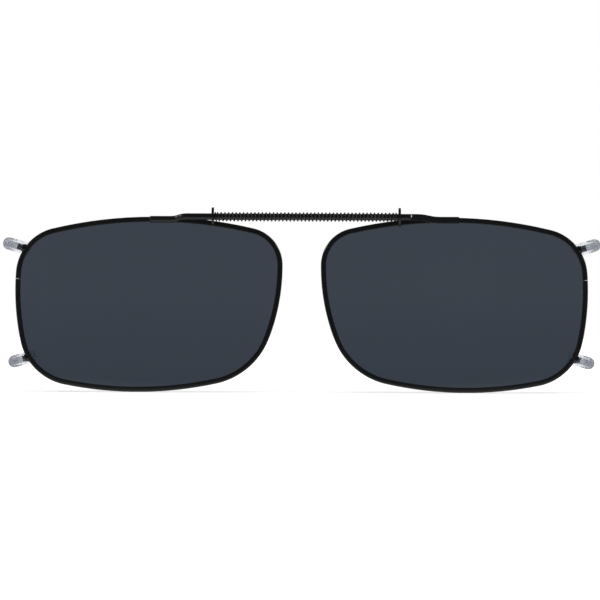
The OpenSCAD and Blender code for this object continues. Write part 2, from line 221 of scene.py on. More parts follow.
# Music-wire spring, blackened: dark oxide over bright steel, dull and even
springLook = {"colours": ("#525357", "#6c6d72"), "patch": 0.5, "grain": 0.2, "roughness": (0.6, 0.75)}
springSteel, tree, shader, place = newMaterial("musicWireBlackened", {"Metallic": 1.0})
patch = addNode(tree, "ShaderNodeTexNoise", links={
    "Vector": place, "Scale": 1 / (springLook["patch"] * mm), "Detail": noiseDetail})
colour = addNode(tree, "ShaderNodeMix", {"data_type": "RGBA"}, {
    0: patch.outputs["Fac"],
    6: hexToLinear(springLook["colours"][0]), 7: hexToLinear(springLook["colours"][1])})
tree.links.new(colour.outputs[2], shader["Base Color"])
grain = addNode(tree, "ShaderNodeTexNoise", links={
    "Vector": place, "Scale": 1 / (springLook["grain"] * mm), "Detail": noiseDetail})
grain = addNode(tree, "ShaderNodeMapRange", links={
    "Value": grain.outputs["Fac"], "From Min": noiseSpan[0], "From Max": noiseSpan[1],
    "To Min": springLook["roughness"][0], "To Max": springLook["roughness"][1]})
tree.links.new(grain.outputs["Result"], shader["Roughness"])

# Soft vinyl tube, dip-moulded: glass clear at the mouth, milky and greyer with a blue cast round the bend
tubeLook = {
    "colours": ("#f2f5f9", "#acb0ba"), "greyFrom": 59.0, "greyTo": 61.6, "cloud": 1.6, "cloudShare": 0.2,
    "hazeFrom": 58.8, "hazeTo": 61.4, "clearness": (1.0, 0.6), "upperReachAndLightShift": 1.2,
    "roughness": (0.06, 0.38), "blotch": 1.4, "blotchShare": 0.08,
}
vinyl, tree, shader, place = newMaterial("softVinylHazy", {"IOR": 1.3})
spot = addNode(tree, "ShaderNodeSeparateXYZ", links={"Vector": place}).outputs
across = addNode(tree, "ShaderNodeMath", {"operation": "ABSOLUTE"}, {0: spot["X"]})
# painted highlight: the grey sets in further out on the upper tubes, so they read lighter as if lit from
# above
upper = addNode(tree, "ShaderNodeMath", {"operation": "GREATER_THAN"}, {0: spot["Z"], 1: 0.0})
across = addNode(tree, "ShaderNodeMath", {"operation": "MULTIPLY_ADD"}, {  # the upper tubes reach further out, and the shift also paints them lighter, a painted highlight standing for light from above
    0: upper.outputs[0], 1: -tubeLook["upperReachAndLightShift"] * mm, 2: across.outputs[0]})
bent = addNode(tree, "ShaderNodeMapRange", links={
    "Value": across.outputs[0], "From Min": tubeLook["greyFrom"] * mm, "From Max": tubeLook["greyTo"] * mm,
    "To Min": 0.0, "To Max": 1.0})
cloud = addNode(tree, "ShaderNodeTexNoise", links={
    "Vector": place, "Scale": 1 / (tubeLook["cloud"] * mm), "Detail": noiseDetail})
cloud = addNode(tree, "ShaderNodeMath", {"operation": "MULTIPLY_ADD"}, {
    0: cloud.outputs["Fac"], 1: tubeLook["cloudShare"], 2: bent.outputs["Result"]})
colour = addNode(tree, "ShaderNodeMix", {"data_type": "RGBA"}, {
    0: cloud.outputs[0], 6: hexToLinear(tubeLook["colours"][0]), 7: hexToLinear(tubeLook["colours"][1])})
tree.links.new(colour.outputs[2], shader["Base Color"])
haze = addNode(tree, "ShaderNodeMapRange", links={
    "Value": across.outputs[0], "From Min": tubeLook["hazeFrom"] * mm, "From Max": tubeLook["hazeTo"] * mm,
    "To Min": tubeLook["clearness"][0], "To Max": tubeLook["clearness"][1]})
tree.links.new(haze.outputs["Result"], shader["Transmission Weight"])
blur = addNode(tree, "ShaderNodeMapRange", links={
    "Value": across.outputs[0], "From Min": tubeLook["hazeFrom"] * mm, "From Max": tubeLook["hazeTo"] * mm,
    "To Min": tubeLook["roughness"][0], "To Max": tubeLook["roughness"][1]})
blotch = addNode(tree, "ShaderNodeTexNoise", links={
    "Vector": place, "Scale": 1 / (tubeLook["blotch"] * mm), "Detail": noiseDetail})
blur = addNode(tree, "ShaderNodeMath", {"operation": "MULTIPLY_ADD"}, {
    0: blotch.outputs["Fac"], 1: tubeLook["blotchShare"], 2: blur.outputs["Result"]})
tree.links.new(blur.outputs[0], shader["Roughness"])

# Nickel-silver wire, drawn and bare under the tubes and at the cut ends, whose bare top edges are partly real
# wear and partly a painted glint: pale, half dull with tarnish
wireLook = {"colours": ("#b9bbbf", "#d0d2d6"), "patch": 0.4, "grain": 0.25, "roughness": (0.4, 0.55)}
bareWire, tree, shader, place = newMaterial("nickelSilverDrawn", {"Metallic": 0.5})
patch = addNode(tree, "ShaderNodeTexNoise", links={
    "Vector": place, "Scale": 1 / (wireLook["patch"] * mm), "Detail": noiseDetail})
colour = addNode(tree, "ShaderNodeMix", {"data_type": "RGBA"}, {
    0: patch.outputs["Fac"], 6: hexToLinear(wireLook["colours"][0]), 7: hexToLinear(wireLook["colours"][1])})
tree.links.new(colour.outputs[2], shader["Base Color"])
grain = addNode(tree, "ShaderNodeTexNoise", links={
    "Vector": place, "Scale": 1 / (wireLook["grain"] * mm), "Detail": noiseDetail})
grain = addNode(tree, "ShaderNodeMapRange", links={
    "Value": grain.outputs["Fac"], "From Min": noiseSpan[0], "From Max": noiseSpan[1],
    "To Min": wireLook["roughness"][0], "To Max": wireLook["roughness"][1]})
tree.links.new(grain.outputs["Result"], shader["Roughness"])
print("materials made")


# The eye's outline, shared by rims and lenses

eye = {
    "width": 56.0, "height": 36.7, "noseGap": 8.0, "ballRadius": 200.0,
    "bows": (1.64, 1.42, 1.39, 1.15),  # top and bottom by the width, temple and nasal by the height
    "offsets": (-0.021, 0.082, 0.043, 0.219),
    "corners": (0.274, 0.315, 0.411, 0.214),  # clockwise from the top temple corner
    "seamLift": 0.145, "seamGap": 0.05, "stepDegrees": 2.4, "sideSteps": 16,
}
eyeX = (eye["noseGap"] + eye["width"]) / 2
halfW, halfH = eye["width"] / 2, eye["height"] / 2
topR, bottomR = eye["bows"][0] * eye["width"], eye["bows"][2] * eye["width"]
templeR, nasalR = eye["bows"][1] * eye["height"], eye["bows"][3] * eye["height"]
sideCircles = [
    (eye["offsets"][0] * eye["width"], halfH - topR, topR),
    (halfW - templeR, eye["offsets"][1] * eye["height"], templeR),
    (eye["offsets"][2] * eye["width"], bottomR - halfH, bottomR),
    (nasalR - halfW, eye["offsets"][3] * eye["height"], nasalR),
]


def filletCircle(p, q, r):
    # circle of radius r that touches p and q from within
    way = Vector((q[0] - p[0], q[1] - p[1]))
    d = way.length
    along = ((p[2] - r) ** 2 - (q[2] - r) ** 2 + d * d) / (2 * d)
    across = math.sqrt((p[2] - r) ** 2 - along ** 2)
    return (p[0] + (along * way.x + across * way.y) / d, p[1] + (along * way.y - across * way.x) / d, r)


def bearing(p, q):
    return math.degrees(math.atan2(q[1] - p[1], q[0] - p[0]))


cornerCircles = [
    filletCircle(sideCircles[i], sideCircles[(i + 1) % 4], eye["corners"][i] * eye["height"])
    for i in range(4)]


def eyeStations():
    # (circle, angle) clockwise from below the seam on the temple side to above it
    seam = math.degrees(math.asin((eye["seamLift"] - eye["offsets"][1]) / eye["bows"][1]))
    halfSeam = math.degrees(math.asin(eye["seamGap"] / 2 / templeR))
    arcs = []
    for i in range(4):
        circle, corner = sideCircles[i], cornerCircles[i]
        first = bearing(circle, cornerCircles[i - 1])
        turn = (first - bearing(circle, corner)) % 360
        arcs.append((circle, first, turn, eye["sideSteps"]))
        start = bearing(circle, corner)
        bend = (start - bearing(sideCircles[(i + 1) % 4], corner)) % 360
        arcs.append((corner, start, bend, math.ceil(bend / eye["stepDegrees"])))
    circle, first, turn, steps = arcs[2]  # the temple side, cut at the seam
    arcs[2] = (circle, first, first - seam - halfSeam, steps // 4)
    low = (circle, seam - halfSeam, turn - first + seam - halfSeam, steps)
    ordered = [low] + arcs[3:] + arcs[:3]
    stations = []
    for circle, first, turn, steps in ordered:
        stations += [(circle, first - turn * k / steps) for k in range(steps)]
    return stations + [(sideCircles[1], seam + halfSeam)]


def eyePoint(station, inset):
    (u, v, r), angle = station
    return (u + (r - inset) * math.cos(math.radians(angle)), v + (r - inset) * math.sin(math.radians(angle)))


def sag(u, v):
    return eye["ballRadius"] - math.sqrt(eye["ballRadius"] ** 2 - u * u - v * v)


rim = {"width": 1.08, "depth": 1.6, "round": 0.35, "lip": 0.13, "grooveRound": 0.05}
lens = {"thick": 0.8, "bite": 0.4, "fit": 0.06, "rings": 16, "edge": 0.09}
prong = {
    "diameter": 1.45, "roots": {"Upper": 34, "Lower": 30}, "outs": {"Upper": 1.8, "Lower": 1.2},
    "dipped": {"Upper": 1.45, "Lower": 0.85},  # length of wire that the enamel covers
    "splay": 17, "firstR": 1.6, "firstTurn": 90, "secondR": 2.0, "secondTurn": 80, "tip": 1.6, "throat": 4.6,
    "sides": 24, "stepDegrees": 5, "sunk": 0.3, "flare": 1.25, "endRound": 0.15, "endGirth": 0.8,
}
stations = eyeStations()
roots = {
    "Upper": eyePoint((cornerCircles[0], prong["roots"]["Upper"]), 0),
    "Lower": eyePoint((cornerCircles[1], -prong["roots"]["Lower"]), 0),
}
eyeY = -rim["depth"] / 2 - sag(*roots["Upper"])
sides = {"left": -1, "right": 1}


# Rims: a grooved section swept flat round the eye, then laid on the ball

rimTree, given, result = newTree("rimOnBall", [
    ("Section", "Object"), ("Ball radius", "Float"), ("Eye middle", "Vector"), ("Enamel", "Material")])
path = addNode(rimTree, "GeometryNodeMeshToCurve", links={"Mesh": given["Geometry"]})
path = addNode(rimTree, "GeometryNodeSetCurveNormal", {"mode": "FREE"}, {
    "Curve": path.outputs["Curve"], "Normal": (0.0, 1.0, 0.0)})
section = addNode(rimTree, "GeometryNodeObjectInfo", links={"Object": given["Section"]})
section = addNode(rimTree, "GeometryNodeMeshToCurve", links={"Mesh": section.outputs["Geometry"]})
swept = addNode(rimTree, "GeometryNodeCurveToMesh", links={
    "Curve": path.outputs["Curve"], "Profile Curve": section.outputs["Curve"], "Fill Caps": True})
spot = addNode(rimTree, "GeometryNodeInputPosition")
offset = addNode(rimTree, "ShaderNodeVectorMath", {"operation": "SUBTRACT"}, {
    0: spot.outputs["Position"], 1: given["Eye middle"]})
flat = addNode(rimTree, "ShaderNodeVectorMath", {"operation": "MULTIPLY"}, {
    0: offset.outputs["Vector"], 1: (1.0, 0.0, 1.0)})
reach = addNode(rimTree, "ShaderNodeVectorMath", {"operation": "LENGTH"}, {0: flat.outputs["Vector"]})
reach = addNode(rimTree, "ShaderNodeMath", {"operation": "DIVIDE"}, {
    0: reach.outputs["Value"], 1: given["Ball radius"]})
lean = addNode(rimTree, "ShaderNodeMath", {"operation": "ARCSINE"}, {0: reach.outputs[0]})
level = addNode(rimTree, "ShaderNodeMath", {"operation": "COSINE"}, {0: lean.outputs[0]})
drop = addNode(rimTree, "ShaderNodeMath", {"operation": "SUBTRACT"}, {0: 1.0, 1: level.outputs[0]})
fall = addNode(rimTree, "ShaderNodeMath", {"operation": "MULTIPLY"}, {
    0: drop.outputs[0], 1: given["Ball radius"]})
shift = addNode(rimTree, "ShaderNodeCombineXYZ", links={"Y": fall.outputs[0]})
laid = addNode(rimTree, "GeometryNodeSetPosition", links={
    "Geometry": swept.outputs["Mesh"], "Offset": shift.outputs["Vector"]})
whole = addNode(rimTree, "GeometryNodeRealizeInstances", links={"Geometry": laid.outputs["Geometry"]})
dressed = addNode(rimTree, "GeometryNodeSetMaterial", links={
    "Geometry": whole.outputs["Geometry"], "Material": given["Enamel"]})
rimTree.links.new(dressed.outputs["Geometry"], result["Geometry"])

grooveHalf = lens["thick"] / 2 + lens["fit"]
grooveFloor = rim["width"] - lens["bite"] - lens["fit"]
halfDepth = rim["depth"] / 2
rimCorners = [
    (halfDepth, -rim["width"], rim["lip"]), (halfDepth, 0, rim["round"]),
    (-halfDepth, 0, rim["round"]), (-halfDepth, -rim["width"], rim["lip"]),
    (-grooveHalf, -rim["width"], rim["grooveRound"]), (-grooveHalf, -grooveFloor, 0),
    (grooveHalf, -grooveFloor, 0), (grooveHalf, -rim["width"], rim["grooveRound"]),
]
rimSection = lineObject("rimSection", [(x, y, 0) for x, y in roundLoop(rimCorners)], True)
for side, sign in sides.items():
    points = [eyePoint(s, 0) for s in stations][::sign]
    piece = lineObject(side + "RimWire", [(sign * (eyeX + u), eyeY, v) for u, v in points], False)
    applyTree(piece, rimTree, {
        "Section": rimSection, "Ball radius": eye["ballRadius"] * mm,
        "Eye middle": (sign * eyeX * mm, 0.0, 0.0), "Enamel": enamel})
    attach(piece, side + "_half")
    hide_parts(side + "_rim")
bpy.data.objects.remove(rimSection)
print("rims made")


# Lenses: curved shells with a small bevel all round

def lensMesh(sign):
    inset = rim["width"] - lens["bite"]
    edge = [eyePoint(s, inset) for s in stations]
    inner = [eyePoint(s, inset + lens["edge"]) for s in stations]
    count, half = len(edge), lens["thick"] / 2
    loops = []
    for k in range(1, lens["rings"] + 1):
        share = math.sin(math.pi / 2 * k / lens["rings"])  # rings draw together towards the edge
        loops.append(([(u * share, v * share) for u, v in inner], -half))
    loops.append((edge, -half + lens["edge"]))
    loops.append((edge, half - lens["edge"]))
    loops += [(ring, half) for ring, depth in loops[lens["rings"] - 1::-1]]
    points = [(sign * (eyeX + u), eyeY + sag(u, v) + depth, v) for ring, depth in loops for u, v in ring]
    faces = []
    for k in range(len(loops) - 1):
        for i in range(count):
            j = (i + 1) % count
            faces.append((k * count + i, k * count + j, (k + 1) * count + j, (k + 1) * count + i))
    for depth, base in ((-half, 0), (half, (len(loops) - 1) * count)):
        points.append((sign * eyeX, eyeY + depth, 0))
        faces += [(len(points) - 1, base + i, base + (i + 1) % count) for i in range(count)]
    return points, faces


for side, sign in sides.items():
    piece = meshObject(side + "SmokeLens", *lensMesh(sign), smoke)
    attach(piece, side + "_half")
    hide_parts(side + "_lens")
print("lenses made")


# Drawn wires: a section swept along a path, thinned or flared by the path's girth

wireTree, given, result = newTree("drawnWire", [
    ("Section", "Object"), ("Section side", "Vector"), ("Finish", "Material")])
path = addNode(wireTree, "GeometryNodeMeshToCurve", links={"Mesh": given["Geometry"]})
path = addNode(wireTree, "GeometryNodeSetCurveNormal", {"mode": "FREE"}, {
    "Curve": path.outputs["Curve"], "Normal": given["Section side"]})
section = addNode(wireTree, "GeometryNodeObjectInfo", links={"Object": given["Section"]})
section = addNode(wireTree, "GeometryNodeMeshToCurve", links={"Mesh": section.outputs["Geometry"]})
girth = addNode(wireTree, "GeometryNodeInputNamedAttribute", {"data_type": "FLOAT"}, {"Name": "girth"})
swept = addNode(wireTree, "GeometryNodeCurveToMesh", links={
    "Curve": path.outputs["Curve"], "Profile Curve": section.outputs["Curve"],
    "Scale": girth.outputs["Attribute"], "Fill Caps": True})
whole = addNode(wireTree, "GeometryNodeRealizeInstances", links={"Geometry": swept.outputs["Mesh"]})
dressed = addNode(wireTree, "GeometryNodeSetMaterial", links={
    "Geometry": whole.outputs["Geometry"], "Material": given["Finish"]})
wireTree.links.new(dressed.outputs["Geometry"], result["Geometry"])


def walkPath(moves, stepDegrees):
    # stations (along, across, heading) over runs and bends in a plane
    x, y, h = 0.0, 0.0, 0.0
    walked = [(x, y, h)]
    for move in moves:
        if move[0] == "run":
            x, y = x + move[1] * math.cos(h), y + move[1] * math.sin(h)
            walked.append((x, y, h))
            continue
        turn, r = math.radians(move[1]), move[2]
        steps = max(1, math.ceil(abs(move[1]) / stepDegrees))
        x0, y0, h0 = x, y, h
        for k in range(1, steps + 1):
            h = h0 + turn * k / steps
            x, y = x0 + r * (math.sin(h) - math.sin(h0)), y0 + r * (math.cos(h0) - math.cos(h))
            walked.append((x, y, h))
    return walked


bridge = {
    "wireR": 0.7, "wireGap": 0.06, "rise": 0.0, "footRise": 0.15, "bendIn": 8.2,
    "bendLengths": {"left": 3.8, "right": 5.2}, "footPasts": {"left": -0.1, "right": 1.0},
    "footFit": 0.02, "restGap": 0.3, "stub": 2.3, "leftSetback": 5.2, "rightSetback": 3.4,
    "stopR": 1.95, "stopThick": 0.52, "stopClear": 0.1, "slideFit": 0.05, "solderFit": 0.01,
    "edgeRound": 0.05, "arcSteps": 20, "bendStep": 2, "chamfer": 0.22, "chamferGirth": 0.62,
    "wornAndGlintFoot": "right",  # the wire whose foot end is also bare on top: wear, and a painted glint
}
footZ = halfH + bridge["footRise"] - bridge["wireR"]
bendX = eyeX - bridge["bendIn"]
leftStopX, rightStopX = -bendX + bridge["leftSetback"], bendX - bridge["rightSetback"]
bridgeZ = halfH + bridge["rise"]
stopU = max(rightStopX, -leftStopX) - eyeX
bridgeY = eyeY + sag(stopU, bridgeZ - bridge["stopR"]) - halfDepth - bridge["stopR"] - bridge["stopClear"]
footY = eyeY + sag(0, footZ - bridge["wireR"]) - halfDepth - bridge["footFit"]
halfGap = bridge["wireGap"] / 2

arcEnd = math.acos(halfGap / bridge["wireR"])
halfRound = []
for k in range(-bridge["arcSteps"], bridge["arcSteps"] + 1):
    a = arcEnd * k / bridge["arcSteps"]
    edge = bridge["edgeRound"] if abs(k) == bridge["arcSteps"] else 0  # only the two edges are rounded
    halfRound.append((bridge["wireR"] * math.cos(a), bridge["wireR"] * math.sin(a), edge))
wireSection = lineObject("wireSection", [(x, y, 0) for x, y in roundLoop(halfRound, 3)], True)


def chamferEnds(points, length, girth):
    # adds a point just inside each end, so that the cut ends are chamfered
    points = [Vector(p) for p in points]
    first, last = (points[1] - points[0]).normalized(), (points[-2] - points[-1]).normalized()
    points = [points[0], points[0] + first * length] + points[1:-1] + [points[-1] + last * length, points[-1]]
    return points, [girth] + [1.0] * (len(points) - 2) + [girth]


def bridgeWire(side, farX, facing, shift):
    # facing is 1 for the rear wire, whose round side looks back, and -1 for the front one
    lift, bendLength = math.hypot(*shift), bridge["bendLengths"][side]
    turn = 2 * math.atan(lift / bendLength)
    r = bendLength / (2 * math.sin(turn))
    degrees = math.degrees(turn)
    footLength = bridge["bendIn"] + bridge["footPasts"][side] - bendLength
    walked = walkPath([
        ("run", bendX - farX), ("bend", degrees, r), ("bend", -degrees, -r), ("run", footLength)],
        bridge["bendStep"])
    points = []
    for along, across, heading in walked:
        points.append((
            sides[side] * (farX + along),
            bridgeY + across * shift[0] / lift, bridgeZ + across * shift[1] / lift))
    points, girth = chamferEnds(points, bridge["chamfer"], bridge["chamferGirth"])
    piece = lineObject(side + "BridgeWire", points, False, girth)
    applyTree(piece, wireTree, {
        "Section": wireSection, "Section side": (0.0, float(facing), 0.0), "Finish": enamel})
    piece.data.materials.append(bareWire)
    footEnd = eyeX + bridge["footPasts"][side]
    for face in piece.data.polygons:  # the top edges of the cut ends are bare metal: partly real wear, partly a painted glint on the top only
        along, height = sides[side] * face.center.x / mm, face.center.z / mm
        # painted highlight: bare metal is laid only on the top edges of the ends, where glints fall
        wornAndGlintFar = along < farX + bridge["chamfer"] and height > bridgeZ
        wornAndGlintFoot = bridge["wornAndGlintFoot"] == side and along > footEnd - bridge["chamfer"] and height > footZ
        face.material_index = 1 if wornAndGlintFar or wornAndGlintFoot else 0
    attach(piece, side + "_half")
    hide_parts(side + "_bridge_wire")


bridgeWire("left", -rightStopX - bridge["stopThick"] / 2 - bridge["stub"], -1,
    (footY + halfGap - bridgeY, footZ - bridgeZ))
bridgeWire("right", -bendX + bridge["restGap"], 1, (footY - bridgeY - bridge["wireR"], footZ - bridgeZ))
bpy.data.objects.remove(wireSection)
print("bridge wires made")


# Stop discs: turned rings with a half-round seat for their own wire and a looser one for the other

disc = {"steps": 96, "edge": 0.1, "edgeSteps": 4, "holeEdge": 0.04}


def stopDisc(name, body, node, x, own):
    half, outer = bridge["stopThick"] / 2, bridge["stopR"]
    points, faces = [], []
    for i in range(disc["steps"]):
        a = 2 * math.pi * (i + 0.5) / disc["steps"]
        fit = bridge["solderFit"] if math.cos(a) * own > 0 else bridge["slideFit"]
        inner = bridge["wireR"] + fit
        ring = [(-half, inner + disc["holeEdge"]), (-half + disc["holeEdge"], inner),
                (half - disc["holeEdge"], inner), (half, inner + disc["holeEdge"])]
        for end in (1, -1):
            for k in range(disc["edgeSteps"] + 1):
                b = math.pi / 2 * (k if end > 0 else disc["edgeSteps"] - k) / disc["edgeSteps"]
                ring.append((end * (half - disc["edge"] * (1 - math.cos(b))),
                             outer - disc["edge"] * (1 - math.sin(b))))
        for dx, r in ring:
            points.append((x + dx, bridgeY + r * math.cos(a), bridgeZ + r * math.sin(a)))
    size = len(ring)
    for i in range(disc["steps"]):
        j = (i + 1) % disc["steps"]
        for k in range(size):
            m = (k + 1) % size
            faces.append((i * size + k, i * size + m, j * size + m, j * size + k))
    piece = meshObject(name, points, faces, enamel)
    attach(piece, body)
    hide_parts(node)


stopDisc("leftWireStop", "left_half", "left_wire_stop", rightStopX, -1)
stopDisc("rightWireStop", "right_half", "right_wire_stop", leftStopX, 1)
print("stop discs made")


# Bridge spring: closed end coils and evenly open ones between; the real one is squeezed as the bridge is
# drawn out, this one is wound once at rest

coil = {"turns": 50, "steps": 28, "wireR": 0.13, "fit": 0.03, "closedTurns": 1.25, "closedPitch": 0.44,
        "blendTurns": 0.6, "sides": 10, "seat": 0.02, "travel": 15.0}
springLow = leftStopX + bridge["stopThick"] / 2
springHigh = rightStopX - bridge["stopThick"] / 2
coilRun = springHigh - springLow - 2 * (coil["seat"] + coil["wireR"])
closedRun = 2 * coil["closedTurns"] * coil["closedPitch"]
openPitch = (coilRun - closedRun) / (coil["turns"] - 2 * coil["closedTurns"])

coilTree, given, result = newTree("squeezedCoil", [
    ("Turns", "Float"), ("Steps", "Int"), ("Open pitch", "Float"), ("Closed pitch", "Float"),
    ("Closed turns", "Float"), ("Blend turns", "Float"), ("Coil radius", "Float"), ("Wire radius", "Float"),
    ("Wire sides", "Int"), ("Start", "Vector"), ("Steel", "Material")])
count = addNode(coilTree, "ShaderNodeMath", {"operation": "MULTIPLY_ADD"}, {
    0: given["Turns"], 1: given["Steps"], 2: 1.0})
line = addNode(coilTree, "GeometryNodeMeshLine", links={"Count": count.outputs[0]})
index = addNode(coilTree, "GeometryNodeInputIndex")
turn = addNode(coilTree, "ShaderNodeMath", {"operation": "DIVIDE"}, {
    0: index.outputs["Index"], 1: given["Steps"]})
left = addNode(coilTree, "ShaderNodeMath", {"operation": "SUBTRACT"}, {0: given["Turns"], 1: turn.outputs[0]})
near = addNode(coilTree, "ShaderNodeMath", {"operation": "SMOOTH_MIN"}, {
    0: turn.outputs[0], 1: given["Closed turns"], 2: given["Blend turns"]})
far = addNode(coilTree, "ShaderNodeMath", {"operation": "SMOOTH_MIN"}, {
    0: left.outputs[0], 1: given["Closed turns"], 2: given["Blend turns"]})
ends = addNode(coilTree, "ShaderNodeMath", {"operation": "SUBTRACT"}, {0: near.outputs[0], 1: far.outputs[0]})
ends = addNode(coilTree, "ShaderNodeMath", {"operation": "ADD"}, {
    0: ends.outputs[0], 1: given["Closed turns"]})
less = addNode(coilTree, "ShaderNodeMath", {"operation": "SUBTRACT"}, {
    0: given["Open pitch"], 1: given["Closed pitch"]})
lost = addNode(coilTree, "ShaderNodeMath", {"operation": "MULTIPLY"}, {
    0: ends.outputs[0], 1: less.outputs[0]})
run = addNode(coilTree, "ShaderNodeMath", {"operation": "MULTIPLY"}, {
    0: turn.outputs[0], 1: given["Open pitch"]})
run = addNode(coilTree, "ShaderNodeMath", {"operation": "SUBTRACT"}, {0: run.outputs[0], 1: lost.outputs[0]})
angle = addNode(coilTree, "ShaderNodeMath", {"operation": "MULTIPLY"}, {0: turn.outputs[0], 1: 2 * math.pi})
cosine = addNode(coilTree, "ShaderNodeMath", {"operation": "COSINE"}, {0: angle.outputs[0]})
sine = addNode(coilTree, "ShaderNodeMath", {"operation": "SINE"}, {0: angle.outputs[0]})
cosine = addNode(coilTree, "ShaderNodeMath", {"operation": "MULTIPLY"}, {
    0: cosine.outputs[0], 1: given["Coil radius"]})
sine = addNode(coilTree, "ShaderNodeMath", {"operation": "MULTIPLY"}, {
    0: sine.outputs[0], 1: given["Coil radius"]})
spot = addNode(coilTree, "ShaderNodeCombineXYZ", links={
    "X": run.outputs[0], "Y": cosine.outputs[0], "Z": sine.outputs[0]})
spot = addNode(coilTree, "ShaderNodeVectorMath", {"operation": "ADD"}, {
    0: spot.outputs["Vector"], 1: given["Start"]})
helix = addNode(coilTree, "GeometryNodeSetPosition", links={
    "Geometry": line.outputs["Mesh"], "Position": spot.outputs["Vector"]})
helix = addNode(coilTree, "GeometryNodeMeshToCurve", links={"Mesh": helix.outputs["Geometry"]})
wire = addNode(coilTree, "GeometryNodeCurvePrimitiveCircle", links={
    "Resolution": given["Wire sides"], "Radius": given["Wire radius"]})
wound = addNode(coilTree, "GeometryNodeCurveToMesh", links={
    "Curve": helix.outputs["Curve"], "Profile Curve": wire.outputs["Curve"], "Fill Caps": True})
whole = addNode(coilTree, "GeometryNodeRealizeInstances", links={"Geometry": wound.outputs["Mesh"]})
dressed = addNode(coilTree, "GeometryNodeSetMaterial", links={
    "Geometry": whole.outputs["Geometry"], "Material": given["Steel"]})
coilTree.links.new(dressed.outputs["Geometry"], result["Geometry"])

springPiece = lineObject("bridgeSpringCoil", [(0, 0, 0), (1, 0, 0)], False)
applyTree(springPiece, coilTree, {
    "Turns": float(coil["turns"]), "Steps": coil["steps"], "Open pitch": openPitch * mm,
    "Closed pitch": coil["closedPitch"] * mm, "Closed turns": coil["closedTurns"],
    "Blend turns": coil["blendTurns"], "Coil radius": (bridge["wireR"] + coil["fit"] + coil["wireR"]) * mm,
    "Wire radius": coil["wireR"] * mm, "Wire sides": coil["sides"],
    "Start": ((springLow + coil["seat"] + coil["wireR"]) * mm, bridgeY * mm, bridgeZ * mm),
    "Steel": springSteel})
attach(springPiece, "left_half")
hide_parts("bridge_spring")
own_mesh(springPiece)
print("spring made:", coil["turns"], "turns at", round(openPitch, 3), "mm")


# Prongs and their soft sleeves

sleeve = {"wall": 0.57, "fit": 0.02, "set": 0.5, "end": 0.12, "lip": 0.16, "lipStep": 0.3,
          "boreEnds": (0.5, 0.9), "sides": 36, "tipSteps": 7}
prongR = prong["diameter"] / 2
sleeveR = prongR + sleeve["fit"] + sleeve["wall"]
firstTurn = math.radians(prong["firstTurn"])
reach = (halfDepth + prong["throat"] + sleeveR - prong["firstR"] * (1 - math.cos(firstTurn))
         - prong["secondR"] * (1 + math.cos(firstTurn))) / math.sin(firstTurn)
hooks, mouth = {}, 1  # the sleeve starts at the second station
for level in roots:
    dipped, out = prong["dipped"][level], prong["outs"][level]
    hooks[level] = walkPath([
        ("run", sleeve["set"]), ("run", dipped - sleeve["set"]), ("run", out - dipped),
        ("bend", prong["firstTurn"], prong["firstR"]), ("run", reach),
        ("bend", prong["secondTurn"], prong["secondR"]), ("run", prong["tip"])], prong["stepDegrees"])
roundPoints = []
for k in range(prong["sides"]):
    a = 2 * math.pi * k / prong["sides"]
    roundPoints.append((prongR * math.cos(a), prongR * math.sin(a), 0))
roundSection = lineObject("roundSection", roundPoints, True)


def prongAxes(side, level):
    sign, up, tilt = sides[side], 1 if level == "Upper" else -1, math.radians(prong["splay"])
    u, v = roots[level]
    start = Vector((sign * (eyeX + u), eyeY + sag(u, v), v))
    out = Vector((sign * math.cos(tilt), 0, up * math.sin(tilt)))
    back = Vector((0, 1, 0))
    return start, out, back, out.cross(back)


def makeProng(side, level):
    start, out, back, normal = prongAxes(side, level)
    hook = hooks[level]
    walked = [(-prong["sunk"], 0, 0)] + hook
    points = [start + out * along + back * across for along, across, heading in walked]
    points, girth = chamferEnds(points, prong["endRound"], prong["endGirth"])
    girth[0] = girth[1] = girth[2] = prong["flare"]  # brazed fillet at the rim
    piece = lineObject(side + level + "Prong", points, False, girth)
    applyTree(piece, wireTree, {"Section": roundSection, "Section side": tuple(normal), "Finish": enamel})
    piece.data.materials.append(bareWire)
    for face in piece.data.polygons:  # bare from the end of the enamel on
        way = face.center / mm - start
        if way.dot(out) > prong["dipped"][level] or way.dot(back) > prong["diameter"]:
            face.material_index = 1
    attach(piece, side + "_half")
    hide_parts(f"{side}_{level.lower()}_prong")


